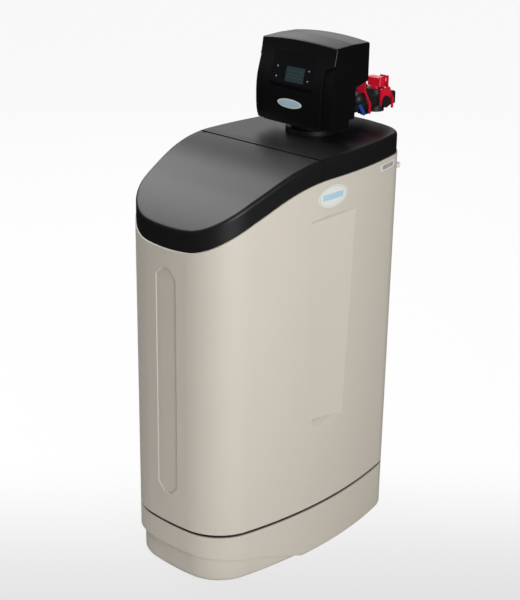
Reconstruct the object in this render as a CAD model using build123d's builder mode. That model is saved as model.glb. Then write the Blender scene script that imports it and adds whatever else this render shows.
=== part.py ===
from build123d import *
import os
from math import asin, atan2, cos, degrees, hypot, radians, sin, sqrt

os.makedirs("parts", exist_ok=True)

# Overrun of every cut past the face it opens, and the fit values shared by all pieces
overrun = 10.0
running_gap = 0.08
rest_gap = 0.4
free_gap = 1.0
quarter_turn = 90.0
upward = (Align.CENTER, Align.CENTER, Align.MIN)
downward = (Align.CENTER, Align.CENTER, Align.MAX)

# Cabinet plan: front arc, side arcs and rear arc joined by round corners
cabinet_width = 330.0
cabinet_depth = 560.0
front_radius = 502.0
side_radius = 922.0
side_centre_y = 7.8
front_corner_radius = 101.6
rear_radius = 326.0
rear_corner_radius = 72.0
draft_share = 0.0034

# Cabinet heights and walls
deck_height = 835.3
lid_side_height = 40.5
lid_step = 2.0
trim_bottom = 104.5
trim_height = 6.5
body_wall = 5.0
body_floor = 6.0
base_wall = 6.0
base_floor = 5.0
base_edge_radius = 9.0
lid_wall = 3.5
lid_edge_radius = 7.6

# Crown of the lid, from the flat deck down to the front edge
crown_start_y = -2.6
crown_radius = 343.0
crown_turn = 23.3
crown_straight = 47.6
nose_radius = 347.0

# Split between the hinged salt lid and the fixed rear deck
split_y = -27.3
split_gap = 1.2

# Resin tank: a 10 inch vessel standing behind the salt space
tank_y = 130.0
tank_room = 36.5
tank_radius = cabinet_width / 2 - tank_room
tank_wall = 3.0
tank_dome_height = 70.0
tank_top = 782.0
tank_neck_radius = 40.0
tank_neck_bore = 31.0
tank_neck_top = 828.0

# Control head on the tank's neck
head_width = 196.0
head_bottom = 857.0
head_wall = 3.0
seam_y = 132.0

# Twin pipe ports and the bypass behind the head
port_spacing = 60.0
port_height = 874.0
port_radius = 15.0
port_bore = 10.0
bypass_end_y = 336.0
rotor_y = 289.0


def corner_centre(first, first_radius, second, second_radius, corner_radius, front):
    """Centre of a corner arc that is tangent inside two larger arcs, on the right-hand side."""
    from_first = first_radius - corner_radius
    from_second = second_radius - corner_radius
    step_x = second[0] - first[0]
    step_y = second[1] - first[1]
    distance = hypot(step_x, step_y)
    along = (from_first**2 - from_second**2 + distance**2) / (2 * distance)
    across = sqrt(from_first**2 - along**2)
    foot = (first[0] + along * step_x / distance, first[1] + along * step_y / distance)
    sign = 1 if front else -1
    return (foot[0] - sign * across * step_y / distance, foot[1] + sign * across * step_x / distance)


def heading(centre, point):
    return degrees(atan2(point[1] - centre[1], point[0] - centre[0]))


front_centre = (0, front_radius - cabinet_depth / 2)
side_centre = (cabinet_width / 2 - side_radius, side_centre_y)
rear_centre = (0, cabinet_depth / 2 - rear_radius)
front_corner = corner_centre(
    front_centre, front_radius, side_centre, side_radius, front_corner_radius, True
)
rear_corner = corner_centre(
    rear_centre, rear_radius, side_centre, side_radius, rear_corner_radius, False
)


def plan_outline(height, inset):
    """Closed cabinet plan at a height, moved in by an inset."""
    turn_a = heading(front_centre, front_corner)
    turn_b = heading(side_centre, front_corner)
    turn_c = heading(side_centre, rear_corner)
    turn_d = heading(rear_centre, rear_corner)
    with BuildSketch(Plane.XY.offset(height), mode=Mode.PRIVATE) as plan:
        with BuildLine():
            CenterArc(front_centre, front_radius - inset, -quarter_turn, turn_a + quarter_turn)
            CenterArc(front_corner, front_corner_radius - inset, turn_a, turn_b - turn_a)
            CenterArc(side_centre, side_radius - inset, turn_b, turn_c - turn_b)
            CenterArc(rear_corner, rear_corner_radius - inset, turn_c, turn_d - turn_c)
            CenterArc(rear_centre, rear_radius - inset, turn_d, quarter_turn - turn_d)
            mirror(about=Plane.YZ)
        make_face()
    return plan.sketch


rim_height = deck_height - lid_side_height


def cabinet_form(low, high, inset):
    """Solid cabinet between two heights, drawn in a little towards the floor."""
    with BuildPart(mode=Mode.PRIVATE) as form:
        add(plan_outline(low, inset + draft_share * (rim_height - low)))
        add(plan_outline(high, inset + draft_share * (rim_height - high)))
        loft(ruled=True)
    return form.part


def above_crown(drop):
    """Everything above the lid's crown line, lowered by a drop."""
    level = deck_height - drop
    reach = cabinet_depth / 2 + overrun
    with BuildPart(mode=Mode.PRIVATE) as space:
        with BuildSketch(Plane.YZ):
            with BuildLine():
                flat = Line((reach, level), (crown_start_y, level))
                crest = JernArc(flat @ 1, (-1, 0), crown_radius, crown_turn)
                slope = Line(crest @ 1, (crest @ 1) + (crest % 1) * crown_straight)
                run = (slope @ 1).X + reach
                nose_turn = degrees(asin(sin(radians(crown_turn)) + run / nose_radius)) - crown_turn
                nose = JernArc(slope @ 1, slope % 1, nose_radius, nose_turn)
                ceiling = level + cabinet_depth
                Polyline(nose @ 1, ((nose @ 1).X, ceiling), (reach, ceiling), flat @ 0)
            make_face()
        extrude(amount=cabinet_width, both=True)
    return space.part


def write_out(node, name):
    """Name a finished piece and write it out."""
    node.part.label = name
    export_step(node.part, f"parts/{name}.step")


# Base plinth: an open tray with a rounded foot and a stepped toe recess at the front
toe_height = 60.0
toe_depth = 9.0
toe_end_y = -45.0
toe_middle_y = -157.0
toe_middle_height = 38.5
rib_thickness = 5.0
rib_spacing = 90.0
rib_pairs = 2
base_top = trim_bottom

with BuildPart() as toe_space:
    with BuildSketch(Plane.YZ):
        with BuildLine():
            front_y = -cabinet_depth / 2 - overrun
            brow = ThreePointArc((front_y, toe_height), (toe_middle_y, toe_middle_height), (toe_end_y, 0))
            Polyline(brow @ 1, (toe_end_y, -overrun), (front_y, -overrun), brow @ 0)
        make_face()
    extrude(amount=cabinet_width, both=True)

with BuildPart() as toe_fill:
    add(cabinet_form(0, toe_height + base_floor, toe_depth))
    fillet(toe_fill.edges().group_by(Axis.Z)[0], base_edge_radius)

with BuildPart() as base_plinth:
    add(cabinet_form(0, base_top, 0))
    fillet(base_plinth.edges().group_by(Axis.Z)[0], base_edge_radius)
    add(toe_space.part, mode=Mode.SUBTRACT)
    add(toe_fill.part)
    add(cabinet_form(base_floor, base_top + overrun, toe_depth + base_wall), mode=Mode.SUBTRACT)
    with Locations((0, 0, base_floor)):
        for row in range(-rib_pairs, rib_pairs + 1):
            with Locations((0, row * rib_spacing, 0)):
                Box(
                    cabinet_width - 2 * (toe_depth + base_wall) - rib_spacing / 2,
                    rib_thickness,
                    base_top - base_floor,
                    align=upward,
                )
write_out(base_plinth, "base_plinth")

# Dark trim strip in the groove between plinth and cabinet
trim_inset = 3.0
trim_width = 12.0

with BuildPart() as base_trim:
    add(cabinet_form(trim_bottom, trim_bottom + trim_height, trim_inset))
    add(
        cabinet_form(trim_bottom - overrun, trim_bottom + trim_height + overrun, trim_inset + trim_width),
        mode=Mode.SUBTRACT,
    )
write_out(base_trim, "base_trim")

# Cabinet body: a moulded shell with a sunk front panel and a scooped grip on each side
body_bottom = trim_bottom + trim_height
panel_half_width = 26.7
panel_low = 174.0
panel_high = 648.0
panel_end = 19.0
panel_end_share = 0.333
panel_sunk = 2.5
scoop_high = 728.0
scoop_low = 283.0
scoop_depth = 13.0
scoop_middle_share = 0.667
scoop_top_front_y = -57.0
scoop_top_rear_y = 78.0
scoop_low_front_y = -36.0
scoop_low_rear_y = 60.0
scoop_wall_run = 5.0
scoop_top_round = 13.0
scoop_low_round = 20.0


def scoop_form(skin):
    """Cutter of one side scoop: steep at its front edge, fading out towards the rear."""
    face_x = cabinet_width / 2
    deep_x = face_x - scoop_depth - skin
    with BuildPart(mode=Mode.PRIVATE) as scoop:
        for level, front_y, rear_y in (
            (scoop_low - skin - overrun, scoop_low_front_y, scoop_low_rear_y),
            (scoop_high + skin + overrun, scoop_top_front_y, scoop_top_rear_y),
        ):
            with BuildSketch(Plane.XY.offset(level)):
                with BuildLine():
                    deep = (deep_x, front_y + scoop_wall_run)
                    middle_x = face_x - scoop_middle_share * (face_x - deep_x)
                    rear = (face_x - draft_share * scoop_high, rear_y + skin)
                    ThreePointArc(deep, (middle_x, (front_y + rear_y) / 2), rear)
                    Polyline(
                        rear,
                        (face_x + overrun, rear_y + skin),
                        (face_x + overrun, front_y - skin),
                        (face_x - draft_share * scoop_high, front_y - skin),
                        deep,
                    )
                make_face()
        loft(ruled=True)
        with BuildSketch(Plane.XZ) as ends:
            with BuildLine():
                top_x = face_x - draft_share * (rim_height - scoop_high)
                low_x = face_x - draft_share * (rim_height - scoop_low)
                brow_centre = (top_x - scoop_top_round, scoop_high)
                sill_centre = (low_x - scoop_low_round, scoop_low)
                brow = CenterArc(brow_centre, scoop_top_round - skin, 0, -quarter_turn)
                sill = CenterArc(sill_centre, scoop_low_round - skin, 0, quarter_turn)
                Polyline(
                    brow @ 0,
                    (face_x + overrun, scoop_high),
                    (face_x + overrun, scoop_low),
                    sill @ 0,
                )
                Polyline(brow @ 1, (0, (brow @ 1).Y), (0, (sill @ 1).Y), sill @ 1)
            make_face()
        extrude(amount=cabinet_depth / 2, both=True, mode=Mode.INTERSECT)
    return scoop.part


with BuildPart() as panel_cut:
    with BuildSketch(Plane.XZ):
        with BuildLine():
            Polyline(
                (-panel_half_width, panel_low + panel_end),
                (-panel_half_width * panel_end_share, panel_low),
                (panel_half_width * panel_end_share, panel_low),
                (panel_half_width, panel_low + panel_end),
                (panel_half_width, panel_high - panel_end),
                (panel_half_width * panel_end_share, panel_high),
                (-panel_half_width * panel_end_share, panel_high),
                (-panel_half_width, panel_high - panel_end),
                close=True,
            )
        make_face()
    extrude(amount=cabinet_depth)
    add(cabinet_form(body_bottom, deck_height, panel_sunk), mode=Mode.SUBTRACT)

with BuildPart() as body_space:
    add(cabinet_form(body_bottom + body_floor, deck_height, body_wall))
    add(scoop_form(body_wall), mode=Mode.SUBTRACT)
    add(mirror(scoop_form(body_wall), about=Plane.YZ), mode=Mode.SUBTRACT)

overflow_x = 90.0
overflow_height = 750.0
overflow_hole_radius = 8.0
overflow_turn = degrees(asin(overflow_x / rear_radius))
overflow_out = (sin(radians(overflow_turn)), cos(radians(overflow_turn)), 0)
overflow_wall_y = rear_centre[1] + rear_radius * overflow_out[1]
overflow_plane = Plane((overflow_x, overflow_wall_y, overflow_height), z_dir=overflow_out)

with BuildPart() as cabinet_body:
    add(cabinet_form(body_bottom, deck_height, 0))
    add(scoop_form(0), mode=Mode.SUBTRACT)
    add(mirror(scoop_form(0), about=Plane.YZ), mode=Mode.SUBTRACT)
    add(panel_cut.part, mode=Mode.SUBTRACT)
    add(body_space.part, mode=Mode.SUBTRACT)
    add(above_crown(lid_side_height + rest_gap), mode=Mode.SUBTRACT)
    with Locations(overflow_plane):
        Cylinder(overflow_hole_radius, 2 * (body_wall + overrun), mode=Mode.SUBTRACT)
write_out(cabinet_body, "cabinet_body")

# Lid and deck: one crowned cap moulding, parted across at the hinge line
with BuildPart() as cap_space:
    with BuildSketch():
        add(plan_outline(0, lid_step + lid_wall))
    extrude(amount=deck_height + overrun)
    add(above_crown(lid_wall), mode=Mode.SUBTRACT)

with BuildPart() as cap_form:
    with BuildSketch():
        add(plan_outline(0, lid_step))
    extrude(amount=deck_height + overrun)
    add(above_crown(0), mode=Mode.SUBTRACT)
    high_faces = cap_form.faces().filter_by(lambda face: face.center().Z > rim_height)
    top_faces = high_faces.filter_by(
        lambda face: face.normal_at().Z > hypot(face.normal_at().X, face.normal_at().Y)
    )
    top_edges = [
        edge
        for edge in cap_form.edges()
        if edge.center().Z > deck_height - cabinet_depth / 2
        and sum(edge in face.edges() for face in top_faces) == 1
    ]
    fillet(top_edges, lid_edge_radius)
    add(cap_space.part, mode=Mode.SUBTRACT)
    add(above_crown(lid_side_height), mode=Mode.INTERSECT)

# Hinge: the lid's rolled rear edge turns on two short pins held in hooks of the deck
knuckle_radius = 4.0
hinge_setback = 0.4
hinge_y = split_y - knuckle_radius - hinge_setback
hinge_drop = 5.8
hinge_z = deck_height - hinge_drop
hinge_end_room = 25.0
knuckle_end_room = 11.0
hinge_x = cabinet_width / 2 - hinge_end_room
knuckle_half_length = cabinet_width / 2 - knuckle_end_room
hook_width = 8.0
hook_radius = 3.7
hook_depth = 13.0
hook_bar = 4.0
hook_reach = 24.0
pin_radius = 1.6
pin_length = 24.0

with BuildPart() as lid_rear_corner:
    with BuildSketch(Plane.YZ):
        with Locations((hinge_y, hinge_z)):
            Rectangle(knuckle_radius + overrun, knuckle_radius + overrun, align=(Align.MIN, Align.MIN))
            Circle(knuckle_radius, mode=Mode.SUBTRACT)
    extrude(amount=cabinet_width / 2, both=True)

with BuildPart() as salt_lid:
    add(cap_form.part)
    split(bisect_by=Plane.XZ.offset(-split_y), keep=Keep.TOP)
    with BuildSketch(Plane.YZ):
        with Locations((hinge_y, hinge_z)):
            Circle(knuckle_radius)
    extrude(amount=knuckle_half_length, both=True)
    add(lid_rear_corner.part, mode=Mode.SUBTRACT)
    with Locations((-hinge_x, hinge_y, hinge_z), (hinge_x, hinge_y, hinge_z)):
        Box(
            hook_width + 2 * rest_gap,
            2 * knuckle_radius + 2 * free_gap,
            2 * knuckle_radius + overrun,
            mode=Mode.SUBTRACT,
        )
        Cylinder(pin_radius, pin_length, rotation=(0, quarter_turn, 0), mode=Mode.SUBTRACT)
write_out(salt_lid, "salt_lid")

with BuildPart() as lid_hinge_pins:
    with Locations((-hinge_x, hinge_y, hinge_z), (hinge_x, hinge_y, hinge_z)):
        Cylinder(pin_radius, pin_length, rotation=(0, quarter_turn, 0))
write_out(lid_hinge_pins, "lid_hinge_pins")

# Rear deck: carries the hinge hooks and opens round the tank's neck
neck_hole_radius = 50.0
brine_hole_radius = 6.0
brine_rise_x = -34.0
brine_rise_y = 179.0
deck_lip_depth = 9.0
deck_lip_width = 2.5

with BuildPart() as rear_deck:
    add(cap_form.part)
    split(bisect_by=Plane.XZ.offset(-split_y - split_gap), keep=Keep.BOTTOM)
    with BuildSketch(Plane.XY.offset(rim_height - deck_lip_depth)):
        add(plan_outline(0, body_wall + rest_gap))
        add(plan_outline(0, body_wall + rest_gap + deck_lip_width), mode=Mode.SUBTRACT)
        with Locations((0, split_y + free_gap)):
            Rectangle(cabinet_width, cabinet_depth, align=(Align.CENTER, Align.MAX), mode=Mode.SUBTRACT)
    extrude(amount=deck_lip_depth + lid_side_height - lid_wall)
    with Locations((0, tank_y, deck_height)):
        Cylinder(neck_hole_radius, 2 * overrun, mode=Mode.SUBTRACT)
    with Locations((brine_rise_x, brine_rise_y, deck_height)):
        Cylinder(brine_hole_radius, 2 * overrun, mode=Mode.SUBTRACT)
    for side in (-1, 1):
        with BuildSketch(Plane.YZ.offset(side * hinge_x)):
            with Locations((hinge_y, hinge_z)):
                Circle(hook_radius)
            with Locations((hinge_y, hinge_z - hook_depth)):
                Rectangle(2 * hook_radius, hook_depth, align=(Align.CENTER, Align.MIN))
                Rectangle(hook_reach, hook_bar, align=(Align.MIN, Align.MIN))
            with Locations((hinge_y + hook_reach, deck_height - lid_wall)):
                Rectangle(
                    2 * hook_radius,
                    deck_height - lid_wall - hinge_z + hook_depth,
                    align=(Align.MAX, Align.MAX),
                )
            with Locations((hinge_y, hinge_z)):
                Circle(pin_radius + running_gap, mode=Mode.SUBTRACT)
        extrude(amount=hook_width / 2, both=True)
write_out(rear_deck, "rear_deck")

# Oval label and small bar label on the right side, both thin films on the wall
label_y = 2.0
label_height = 761.0
label_half_length = 41.0
label_half_height = 21.5
label_skin = 0.6
bar_label_y = 187.0
bar_label_height = 779.0
bar_label_length = 56.0
bar_label_width = 14.0
bar_label_corner = 2.0


def wall_film(outline, height, half_height):
    """Thin film that follows the cabinet's right wall under an outline drawn on the YZ plane."""
    seat = draft_share * (rim_height - height - half_height)
    with BuildPart(mode=Mode.PRIVATE) as film:
        with BuildSketch(Plane.XY.offset(height)):
            add(plan_outline(0, seat - label_skin))
            add(plan_outline(0, seat), mode=Mode.SUBTRACT)
            Rectangle(cabinet_width, cabinet_depth, align=(Align.MIN, Align.CENTER), mode=Mode.INTERSECT)
        extrude(amount=half_height, both=True)
        extrude(outline, amount=cabinet_width, dir=(1, 0, 0), mode=Mode.INTERSECT)
    return film.part


with BuildSketch(Plane.YZ) as label_oval:
    with Locations((label_y, label_height)):
        Ellipse(label_half_length, label_half_height)
with BuildPart() as side_label:
    add(wall_film(label_oval.sketch, label_height, label_half_height))
write_out(side_label, "side_label")

with BuildSketch(Plane.YZ) as label_strip:
    with Locations((bar_label_y, bar_label_height)):
        RectangleRounded(bar_label_length, bar_label_width, bar_label_corner)
with BuildPart() as bar_label:
    add(wall_film(label_strip.sketch, bar_label_height, bar_label_width / 2))
write_out(bar_label, "bar_label")

# Overflow spigot screwed through the rear wall, with its nut inside
overflow_thread_radius = 7.6
overflow_radius = 6.0
overflow_bore = 4.0
overflow_flange_radius = 11.0
overflow_flange = 3.0
overflow_reach = 24.0
overflow_tail = 20.0
nut_height = 6.0
nut_sides = 6

with BuildPart() as overflow_spigot:
    with Locations(overflow_plane.offset(-overflow_tail)):
        Cylinder(overflow_thread_radius, overflow_tail, align=upward)
    with Locations(overflow_plane):
        Cylinder(overflow_flange_radius, overflow_flange, align=upward)
        Cylinder(overflow_radius, overflow_reach, align=upward)
    with Locations(overflow_plane.offset(-overflow_tail)):
        Cylinder(overflow_bore, overflow_tail + overflow_reach, align=upward, mode=Mode.SUBTRACT)
write_out(overflow_spigot, "overflow_spigot")

with BuildPart() as overflow_nut:
    with BuildSketch(overflow_plane.offset(-body_wall - 2 * rest_gap)):
        RegularPolygon(overflow_flange_radius, nut_sides)
        Circle(overflow_thread_radius + running_gap, mode=Mode.SUBTRACT)
    extrude(amount=-nut_height)
write_out(overflow_nut, "overflow_nut")

# Resin tank: a wound vessel with domed ends and a threaded neck, in a rubber boot
boot_height = 48.0
boot_wall = 3.0
boot_floor = 4.0
floor_height = body_bottom + body_floor
tank_bottom = floor_height + boot_floor + rest_gap


def vessel_profile(radius, low, high, dome, neck_radius, neck_top):
    """Half section of a domed vessel, drawn beside its axis."""
    with BuildSketch(Plane.XZ, mode=Mode.PRIVATE) as section:
        with BuildLine():
            lower = EllipticalCenterArc(
                (0, low + dome), radius, dome, start_angle=-quarter_turn, arc_size=quarter_turn
            )
            upper = EllipticalCenterArc((0, high - dome), radius, dome, start_angle=0, arc_size=quarter_turn)
            Line(lower @ 1, upper @ 0)
            Line(upper @ 1, lower @ 0)
        make_face()
        with Locations((0, high - dome)):
            Rectangle(neck_radius, neck_top - high + dome, align=(Align.MIN, Align.MIN))
    return section.sketch


with BuildPart() as tank_outside:
    add(
        vessel_profile(
            tank_radius, tank_bottom, tank_top, tank_dome_height, tank_neck_radius, tank_neck_top
        )
    )
    revolve(axis=Axis.Z)

with BuildPart() as tank_inside:
    add(
        vessel_profile(
            tank_radius - tank_wall,
            tank_bottom + tank_wall,
            tank_top - tank_wall,
            tank_dome_height - tank_wall,
            tank_neck_bore,
            tank_neck_top + overrun,
        )
    )
    revolve(axis=Axis.Z)

with BuildPart() as resin_tank:
    with Locations((0, tank_y, 0)):
        add(tank_outside.part)
        add(tank_inside.part, mode=Mode.SUBTRACT)
write_out(resin_tank, "resin_tank")

with BuildPart() as boot_form:
    with BuildSketch(Plane.XZ):
        with Locations((0, floor_height)):
            Rectangle(tank_radius + boot_wall, boot_height, align=(Align.MIN, Align.MIN))
        add(
            vessel_profile(
                tank_radius + rest_gap,
                tank_bottom - rest_gap,
                tank_top,
                tank_dome_height,
                tank_neck_radius,
                tank_neck_top,
            ),
            mode=Mode.SUBTRACT,
        )
    revolve(axis=Axis.Z)
with BuildPart() as tank_boot:
    with Locations((0, tank_y, 0)):
        add(boot_form.part)
write_out(tank_boot, "tank_boot")

# Riser tube down the middle of the tank, ending in a slotted basket, with the resin bed around it
riser_radius = 13.5
riser_bore = 12.0
basket_radius = 22.0
basket_height = 40.0
basket_slots = 8
basket_slot_width = 2.5
riser_top = 796.0
resin_top_share = 0.55
dome_rise = tank_dome_height * (1 - sqrt(1 - (basket_radius / (tank_radius - tank_wall)) ** 2))
riser_bottom = tank_bottom + tank_wall + dome_rise + rest_gap

with BuildPart() as riser_tube:
    with Locations((0, tank_y, riser_bottom + basket_height)):
        Cylinder(riser_radius, riser_top - riser_bottom - basket_height, align=upward)
        Cylinder(
            riser_bore,
            riser_top - riser_bottom - basket_height,
            align=upward,
            mode=Mode.SUBTRACT,
        )
write_out(riser_tube, "riser_tube")

with BuildPart() as lower_basket:
    with Locations((0, tank_y, riser_bottom)):
        Cylinder(basket_radius, basket_height, align=upward)
    with Locations((0, tank_y, riser_bottom + basket_slot_width)):
        Cylinder(riser_bore, basket_height, align=upward, mode=Mode.SUBTRACT)
    with Locations((0, tank_y, riser_bottom + basket_height / 2)):
        with PolarLocations(basket_radius, basket_slots):
            Box(basket_radius, basket_slot_width, basket_height / 2, mode=Mode.SUBTRACT)
write_out(lower_basket, "lower_basket")

with BuildPart() as bed_form:
    with BuildSketch(Plane.XZ):
        add(
            vessel_profile(
                tank_radius - tank_wall - rest_gap,
                tank_bottom + tank_wall + rest_gap,
                tank_top - tank_wall,
                tank_dome_height - tank_wall,
                tank_neck_bore,
                tank_neck_top,
            )
        )
        bed_top = tank_bottom + resin_top_share * (tank_top - tank_bottom)
        with Locations((0, bed_top)):
            Rectangle(cabinet_width, cabinet_depth, align=(Align.CENTER, Align.MIN), mode=Mode.SUBTRACT)
    revolve(axis=Axis.Z)
    Cylinder(riser_radius + rest_gap, 2 * deck_height, mode=Mode.SUBTRACT)
    Cylinder(
        basket_radius + rest_gap,
        riser_bottom + basket_height + rest_gap,
        align=upward,
        mode=Mode.SUBTRACT,
    )
with BuildPart() as resin_bed:
    with Locations((0, tank_y, 0)):
        add(bed_form.part)
write_out(resin_bed, "resin_bed")

# Salt grid: a perforated shelf on legs that keeps the salt above the water
grid_height = 205.0
grid_thickness = 6.0
grid_inset = 9.0
grid_rear_y = 12.0
grid_hole_radius = 6.0
grid_pitch = 32.0
grid_columns = 7
grid_rows = 3
leg_radius = 9.0
leg_room = 60.0
leg_x = cabinet_width / 2 - leg_room
leg_front_y = -205.0
well_room = 67.0
well_x = well_room - cabinet_width / 2
well_y = -42.0
well_radius = 40.0
well_wall = 2.5

with BuildPart() as salt_grid:
    with BuildSketch(Plane.XY.offset(grid_height)):
        add(plan_outline(0, grid_inset))
        with Locations((0, grid_rear_y)):
            Rectangle(cabinet_width, cabinet_depth, align=(Align.CENTER, Align.MIN), mode=Mode.SUBTRACT)
        with Locations((0, tank_y)):
            Circle(tank_radius + boot_wall + free_gap, mode=Mode.SUBTRACT)
        with Locations((well_x, well_y)):
            Circle(well_radius + free_gap, mode=Mode.SUBTRACT)
        with Locations((0, leg_front_y + 2 * grid_pitch)):
            with GridLocations(grid_pitch, grid_pitch, grid_columns, grid_rows):
                Circle(grid_hole_radius, mode=Mode.SUBTRACT)
    extrude(amount=-grid_thickness)
    with Locations(
        (-leg_x, leg_front_y, floor_height),
        (leg_x, leg_front_y, floor_height),
        (leg_x, well_y, floor_height),
    ):
        Cylinder(leg_radius, grid_height - floor_height, align=upward)
write_out(salt_grid, "salt_grid")

# Brine well: an upright tube with a cap, which houses the float valve
well_top = 700.0
cap_height = 14.0
cap_wall = 2.5
well_slots = 6
well_slot_height = 30.0
valve_radius = 20.0
valve_height = 34.0
valve_clearance = 6.0
valve_arms = 3
float_radius = 30.0
float_height = 46.0
float_edge_radius = 6.5
float_travel = 25.0
float_rest_height = 420.0
rod_radius = 3.0
brine_tube_radius = 4.8
brine_tube_bore = 3.2
elbow_height = 16.0

with BuildPart() as brine_well:
    with Locations((well_x, well_y, floor_height)):
        Cylinder(well_radius, well_top - floor_height, align=upward)
        Cylinder(well_radius - well_wall, well_top - floor_height, align=upward, mode=Mode.SUBTRACT)
    with Locations((well_x, well_y, floor_height + well_slot_height)):
        with PolarLocations(well_radius, well_slots):
            Box(well_radius / 2, basket_slot_width, well_slot_height, mode=Mode.SUBTRACT)
write_out(brine_well, "brine_well")

with BuildPart() as brine_well_cap:
    with Locations((well_x, well_y, well_top + cap_wall)):
        Cylinder(well_radius + cap_wall + rest_gap, cap_height, align=downward)
    with Locations((well_x, well_y, well_top)):
        Cylinder(well_radius + rest_gap, cap_height, align=downward, mode=Mode.SUBTRACT)
        Cylinder(brine_tube_radius + rest_gap, cap_height, mode=Mode.SUBTRACT)
write_out(brine_well_cap, "brine_well_cap")

with BuildPart() as float_valve:
    with Locations((well_x, well_y, well_top - valve_clearance - elbow_height)):
        Cylinder(valve_radius, valve_height, align=downward)
        Cylinder(rod_radius + rest_gap, valve_height - cap_wall, align=downward, mode=Mode.SUBTRACT)
    with Locations((well_x, well_y, well_top - valve_clearance - elbow_height)):
        Cylinder(brine_tube_radius + cap_wall, elbow_height, align=upward)
        Cylinder(brine_tube_radius, elbow_height, align=upward, mode=Mode.SUBTRACT)
    with Locations((well_x, well_y, well_top - valve_clearance - elbow_height - valve_height)):
        with PolarLocations(0, valve_arms):
            Box(
                well_radius - well_wall - rest_gap,
                2 * cap_wall,
                2 * cap_wall,
                align=(Align.MIN, Align.CENTER, Align.MIN),
            )
        Cylinder(rod_radius + rest_gap, valve_height - cap_wall, align=upward, mode=Mode.SUBTRACT)
write_out(float_valve, "float_valve")

rod_top = well_top - valve_clearance - elbow_height - cap_wall - rest_gap - float_travel
with BuildPart() as brine_float:
    with Locations((well_x, well_y, float_rest_height)):
        Cylinder(float_radius, float_height, align=upward)
        Cylinder(rod_radius, rod_top - float_rest_height, align=upward)
    round_edges = brine_float.edges().filter_by(GeomType.CIRCLE)
    fillet(round_edges.filter_by(lambda edge: edge.radius > rod_radius), float_edge_radius)
write_out(brine_float, "brine_float")

# Brine line: soft tube from the float valve up through the deck to the control valve
line_turn_height = 800.0
line_bend_radius = 28.0
valve_block_bottom = 863.0

with BuildPart() as brine_line:
    with BuildLine() as line_route:
        FilletPolyline(
            (well_x, well_y, well_top - valve_clearance - elbow_height),
            (well_x, well_y, line_turn_height),
            (brine_rise_x, brine_rise_y, line_turn_height),
            (brine_rise_x, brine_rise_y, valve_block_bottom),
            radius=line_bend_radius,
        )
    with BuildSketch(Plane((well_x, well_y, well_top - valve_clearance - elbow_height), z_dir=(0, 0, 1))):
        Circle(brine_tube_radius - running_gap)
        Circle(brine_tube_bore, mode=Mode.SUBTRACT)
    sweep(path=line_route.wires()[0])
write_out(brine_line, "brine_line")

# Collar that closes the deck round the valve's neck
collar_radius = 54.0
collar_rise = 10.0
collar_wall = 4.0
valve_neck_radius = 44.0

with BuildPart() as neck_collar:
    with Locations((0, tank_y, deck_height)):
        Cylinder(collar_radius, collar_rise, align=upward)
        fillet(neck_collar.edges().group_by(Axis.Z)[-1], collar_wall / 2)
        Cylinder(neck_hole_radius - rest_gap, 2 * lid_wall, align=downward)
        Cylinder(valve_neck_radius + rest_gap, 2 * (collar_rise + overrun), mode=Mode.SUBTRACT)
write_out(neck_collar, "neck_collar")

# Control valve: threaded neck, block with two rear ports and a level piston barrel on top
thread_length = 24.0
valve_neck_height = 44.0
block_half_width = 42.0
block_front_y = 96.0
block_rear_y = 187.0
block_top = 892.0
barrel_height = 906.0
barrel_radius = 18.0
barrel_front_y = 94.0
barrel_rear_y = 172.0
barrel_bore = 12.5
barrel_floor = 5.0
port_end_y = 238.0
port_flange = 2.5
bypass_radius = 17.0
boss_y = 206.0
boss_height = 893.0
boss_radius = 11.5
boss_end_x = 46.0
drain_radius = 8.0
drain_bore = 5.0
drain_end_x = -66.0
drain_y = 160.0
drain_height = 878.0
valve_corner_radius = 5.0

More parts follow.
